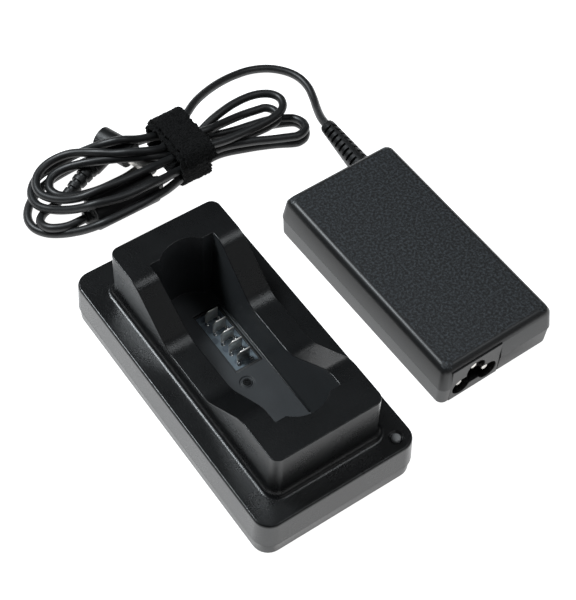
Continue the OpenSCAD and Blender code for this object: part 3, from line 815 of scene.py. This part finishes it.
choose(leaf, "edges", front_top_edge)
bpy.ops.mesh.bevel(offset=LEAD_IN * MM, segments=1, affect="EDGES")
bpy.ops.object.mode_set(mode="OBJECT")
round_edges(leaf, 0.09)
for number in range(1, 6):
    node = "contact_blade_%d" % number
    low, high = (Vector(corner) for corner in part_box(node))
    twin = leaf.copy()
    twin.data = leaf.data.copy()
    twin.name = "contact_leaf_%d" % number
    twin.data.transform(Matrix.Translation(low - first_low))
    bpy.context.collection.objects.link(twin)
    complete(twin, "cradle", "contact_nickel", nickel, node, smooth=30)
bpy.data.objects.remove(leaf, do_unlink=True)

# %% [markdown]
# A solder joint is a little fillet that climbs a pin: wide and thin at the board, then steep, then
# the pin's cut end. Ten of them stand beside the leaves' feet, two to a leaf.

# %% Solder joints
board_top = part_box("charger_board")[1][2]
joint_rings = [
    (-0.1, 0.72), (0.04, 0.72), (0.12, 0.6), (0.26, 0.44), (0.46, 0.34), (0.72, 0.29),
    (0.82, 0.2),
]
joint = turned("solder_joint", joint_rings, sides=20)
joint_places = []
for number in range(1, 6):
    low, high = (Vector(corner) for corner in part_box("contact_blade_%d" % number))
    for x in (low.x + 0.2 * MM, high.x + 0.1 * MM):
        joint_places.append(Vector((x, low.y - 0.75 * MM, board_top)))
solder_joints = copies(joint, "solder_joints", joint_places)
complete(solder_joints, "cradle", "contact_nickel", solder, smooth=60)

# %% [markdown]
# A dark frame lies on the board round the inside of the window and closes the gap to the floor: a
# painted shade for the shadow in the gap round the board's edge. It starts as a thin block of the
# window's size. Its top and bottom are inset by the frame's width and the two inner faces are
# bridged, which leaves an open frame.

# %% Dark frame of painted shade in the window
WINDOW_LOW = mm(-0.7, 0.7, 0)
WINDOW_HIGH = mm(8.7, 25.1, 0)
# The frame is painted shade: a dark sheet where the gap round the board lies in shadow.
shade_frame = block(
    "window_painted_shade", WINDOW_LOW + Vector((0, 0, board_top - 0.05 * MM)),
    WINDOW_HIGH + Vector((0, 0, board_top + 0.5 * MM)))
pick(shade_frame)
bpy.ops.object.mode_set(mode="EDIT")
bpy.ops.mesh.select_mode(type="FACE")
choose(shade_frame, "polygons", lambda face: abs(face.normal.z) > 0.9)
bpy.ops.mesh.inset(thickness=0.55 * MM)
bpy.ops.mesh.bridge_edge_loops()
bpy.ops.object.mode_set(mode="OBJECT")
FRONT_BAR_GROWS = 0.65 * MM
for vertex in shade_frame.data.vertices:
    inner_front = 1.0 * MM < vertex.co.y < 1.6 * MM
    if inner_front:
        vertex.co.y += FRONT_BAR_GROWS
round_edges(shade_frame, 0.1)
complete(shade_frame, "cradle", "component_black", component, smooth=30)

# %% [markdown]
# The pocket's floor shows how it was moulded: a fine ridge runs along its right side, and the
# gate, where the plastic entered, is a ring with a small nub in its middle.

# %% Marks in the pocket's floor
POCKET_FLOOR = 8.0
ridge = block(
    "floor_ridge", mm(9.35, -22.6, POCKET_FLOOR - 0.3), mm(9.75, 22.7, POCKET_FLOOR + 0.45))
round_edges(ridge, 0.14)
complete(ridge, "cradle", "cradle_plastic", cradle_plastic, smooth=30)

nub_rings = [(-0.3, 1.25), (0.12, 1.25), (0.24, 1.1), (0.26, 0.6), (0.1, 0.45), (0.08, 0.25)]
nub = turned("gate_nub", [(POCKET_FLOOR + z, r) for z, r in nub_rings], sides=32)
gate_nub = copies(nub, "gate_nub", [mm(0, -3.7, 0)])
complete(gate_nub, "cradle", "cradle_plastic", cradle_plastic, smooth=30)

# %% [markdown]
# The sleeve where the lead leaves the adapter is one moulding. It tapers to a rounded end, and
# rows of short slots let it bend. It is turned as a plain taper first, then the slots are cut in
# one Boolean with a comb of blocks, a row on each of its four sides.

# %% Strain relief
SLOT_COUNT = 8
SLOT_PITCH = 2.55
SLOT_WIDE = 1.05
SLOT_DEEP = 1.0
SLEEVE_LENGTH = 24.4
SLEEVE_BASE_R = 3.8
SLEEVE_TIP_R = 2.55
adapter_place = Matrix.Translation(mm(67.2, 2.4, 0)) @ Matrix.Rotation(math.radians(1.1), 4, "Z")
sleeve_place = (
    adapter_place @ Matrix.Translation(mm(12.2, 41.5, 8.4))
    @ Matrix.Rotation(math.radians(-7), 4, "Z") @ Matrix.Rotation(math.radians(-95.7), 4, "X")
)
relief = turned("lead_sleeve", [
    (-1.4, 4.25), (0.5, 4.25), (0.95, 4.05), (1.1, SLEEVE_BASE_R),
    (SLEEVE_LENGTH - 0.9, SLEEVE_TIP_R + 0.03), (SLEEVE_LENGTH - 0.35, SLEEVE_TIP_R - 0.2),
    (SLEEVE_LENGTH, SLEEVE_TIP_R - 0.75),
], sides=56)
comb_places = []
for row in range(4):
    around = Matrix.Rotation(math.radians(45 + 90 * row), 4, "Z")
    for i in range(SLOT_COUNT):
        z = 3.0 + SLOT_PITCH * i
        radius = SLEEVE_BASE_R + (SLEEVE_TIP_R - SLEEVE_BASE_R) * z / SLEEVE_LENGTH
        comb_places.append(around @ Matrix.Translation(mm(radius - SLOT_DEEP, 0, z)))
tooth = block("slot_tooth", mm(0, -1.75, -SLOT_WIDE / 2), mm(3, 1.75, SLOT_WIDE / 2))
comb = copies(tooth, "slot_comb", comb_places)
pick(relief)
cut = relief.modifiers.new("slots", "BOOLEAN")
cut.operation = "DIFFERENCE"
cut.solver = "EXACT"
cut.object = comb
bpy.ops.object.modifier_apply(modifier=cut.name)
bpy.data.objects.remove(comb, do_unlink=True)
relief.data.transform(sleeve_place)
complete(relief, "adapter", "relief_vinyl", soft_mould, "cord_strain_relief", smooth=30)

# %% [markdown]
# The right-angle plug is a round moulded head with an arm that ends in a ribbed sleeve. The
# suppressor is a moulded cover over a ferrite tube. Their CAD shapes are right, so copies of them
# get the soft edges of a vinyl moulding. The inlet's pins are rounded in the same way.

# %% Plug, suppressor and inlet pins
plug_head = softened("plug_body", "plug_head", "adapter", soft_mould, 0.45, steps=4)
plug_sleeve = softened(
    "plug_strain_relief", "plug_sleeve", "adapter", soft_mould, 0.14)
suppressor = softened(
    "ferrite_cover", "suppressor_cover", "adapter", soft_mould, 0.8, steps=4)
softened("inlet_pins", "inlet_contacts", "adapter", nickel, 0.3)

# %% [markdown]
# The tie is a length of hook-and-loop tape that goes round the hank and closes on itself, so two
# plies lie on top and the outer one has slipped a little to one side. Each ply is a fine grid
# wrapped round a rounded path, given its thickness by Solidify, and then roughened: every point is
# pushed in or out by a fine noise, most at the two cut edges, which is what a felt edge looks like.

# %% Hook-and-loop tie
from mathutils import noise

TIE_WIDE = 11.2
TIE_THICK = 1.15
TIE_MIDDLE = (86.0, 6.8)


def rounded_path(half_wide, half_high, radius, count=220):
    """Points (y, z) once round a rounded rectangle, from the foot of its -Y side upwards."""
    corners = [
        (-half_wide + radius, half_high - radius, 180, 90),
        (half_wide - radius, half_high - radius, 90, 0),
        (half_wide - radius, -half_high + radius, 0, -90),
        (-half_wide + radius, -half_high + radius, -90, -180),
    ]
    bends = []
    for y, z, start, end in corners:
        for i in range(13):
            angle = math.radians(start + (end - start) * i / 12)
            bends.append((y + radius * math.cos(angle), z + radius * math.sin(angle)))
    bends.append(bends[0])
    lengths = [math.dist(a, b) for a, b in zip(bends, bends[1:])]
    total = sum(lengths)
    path = []
    for i in range(count + 1):
        left = total * i / count
        for a, b, length in zip(bends, bends[1:], lengths):
            if left <= length:
                break
            left -= length
        share = min(1.0, left / max(length, 1e-9))
        path.append((a[0] + (b[0] - a[0]) * share, a[1] + (b[1] - a[1]) * share))
    return path


def tie_ply(name, path, x_low, closed, seed):
    across = 34
    clear_selection()
    bpy.ops.mesh.primitive_grid_add(
        x_subdivisions=across, y_subdivisions=len(path) - 1, size=1)
    ply = bpy.context.object
    ply.name = name
    for vertex in ply.data.vertices:
        u = vertex.co.x + 0.5
        y, z = path[round((vertex.co.y + 0.5) * (len(path) - 1))]
        ragged = noise.noise(Vector((seed, y * 0.9, z * 0.9))) * 0.55
        edge = max(0.0, abs(u - 0.5) * 2 - 0.8) / 0.2
        vertex.co = mm(x_low + u * TIE_WIDE + ragged * edge, TIE_MIDDLE[0] + y, TIE_MIDDLE[1] + z)
    bpy.ops.object.mode_set(mode="EDIT")
    bpy.ops.mesh.select_all(action="SELECT")
    if closed:
        bpy.ops.mesh.remove_doubles(threshold=0.01 * MM)
    bpy.ops.mesh.normals_make_consistent(inside=False)
    bpy.ops.object.mode_set(mode="OBJECT")
    thick = ply.modifiers.new("thickness", "SOLIDIFY")
    thick.thickness = TIE_THICK * MM
    thick.offset = 0
    bpy.ops.object.modifier_apply(modifier=thick.name)
    ply.data.update()
    pushes = []
    for vertex in ply.data.vertices:
        place = vertex.co / MM
        loops = noise.noise(place * 1.7) * 0.3 + noise.noise(place * 0.45) * 0.22
        pushes.append(vertex.normal * loops * MM)
    for vertex, push in zip(ply.data.vertices, pushes):
        vertex.co += push
        vertex.co.z = max(vertex.co.z, 0.05 * MM)
    return ply


inner_path = rounded_path(11.1, 6.1, 3.8)
outer_path = rounded_path(12.2, 7.2, 4.6)
inner_ply = tie_ply("tie_inner_ply", inner_path, 27.6, True, 3.1)
complete(inner_ply, "adapter", "hook_and_loop", felt, "cord_strap", smooth=70)
outer_ply = tie_ply("tie_outer_ply", outer_path[4:118], 29.2, False, 8.4)
complete(outer_ply, "adapter", "hook_and_loop", felt, smooth=70)

# %% [markdown]
# The floor is a plain bench top that is lit from below like a light table, so it is almost white
# and shows hardly a shadow. Black plastic shows what it mirrors: its upright sides mirror the
# bench and look grey, its tops mirror the dark room, and two soft boxes overhead draw the pale
# streaks along its rounded edges.

# %% Floor and light
def bench_white():
    finish = Finish("bench_white", Roughness=0.9, Specular_IOR_Level=0.1, Emission_Strength=1.06)
    finish.shader.inputs["Emission Color"].default_value = (1, 1, 1, 1)
    cloud = finish.noise(0.002, 2)
    finish.colour(finish.blend(cloud, grey(0.6), grey(0.66)))
    return finish.material


clear_selection()
bpy.ops.mesh.primitive_plane_add(size=6, location=(0, 0, 0))
bench = bpy.context.object
bench.name = "bench_top"
finish_piece(bench, bench_white())


def soft_box(name, toward, distance, size, power, tint=(1, 1, 1)):
    aim_at = Vector((0.03, 0.03, 0.02))
    clear_selection()
    bpy.ops.object.light_add(type="AREA", location=aim_at + Vector(toward).normalized() * distance)
    lamp = bpy.context.object
    lamp.name = name
    lamp.rotation_euler = Vector(toward).to_track_quat("Z", "Y").to_euler()
    lamp.data.shape = "RECTANGLE"
    lamp.data.size, lamp.data.size_y = size
    lamp.data.energy = power
    lamp.data.color = tint


soft_box("top_box", (0.36, -0.12, 0.93), 1.0, (0.34, 0.26), 1.3, (0.93, 0.97, 1))
soft_box("back_box", (-0.32, 0.5, 0.82), 1.1, (0.36, 0.26), 10.0, (0.9, 0.96, 1))
soft_box("front_box", (0.3, -1.0, 0.8), 1.3, (0.8, 0.5), 0.5)

world = bpy.data.worlds.new("studio")
bpy.context.scene.world = world
world.use_nodes = True
world.node_tree.nodes["Background"].inputs["Color"].default_value = (0.9, 0.94, 1, 1)
world.node_tree.nodes["Background"].inputs["Strength"].default_value = 0.04
bpy.context.scene.view_settings.view_transform = "Standard"
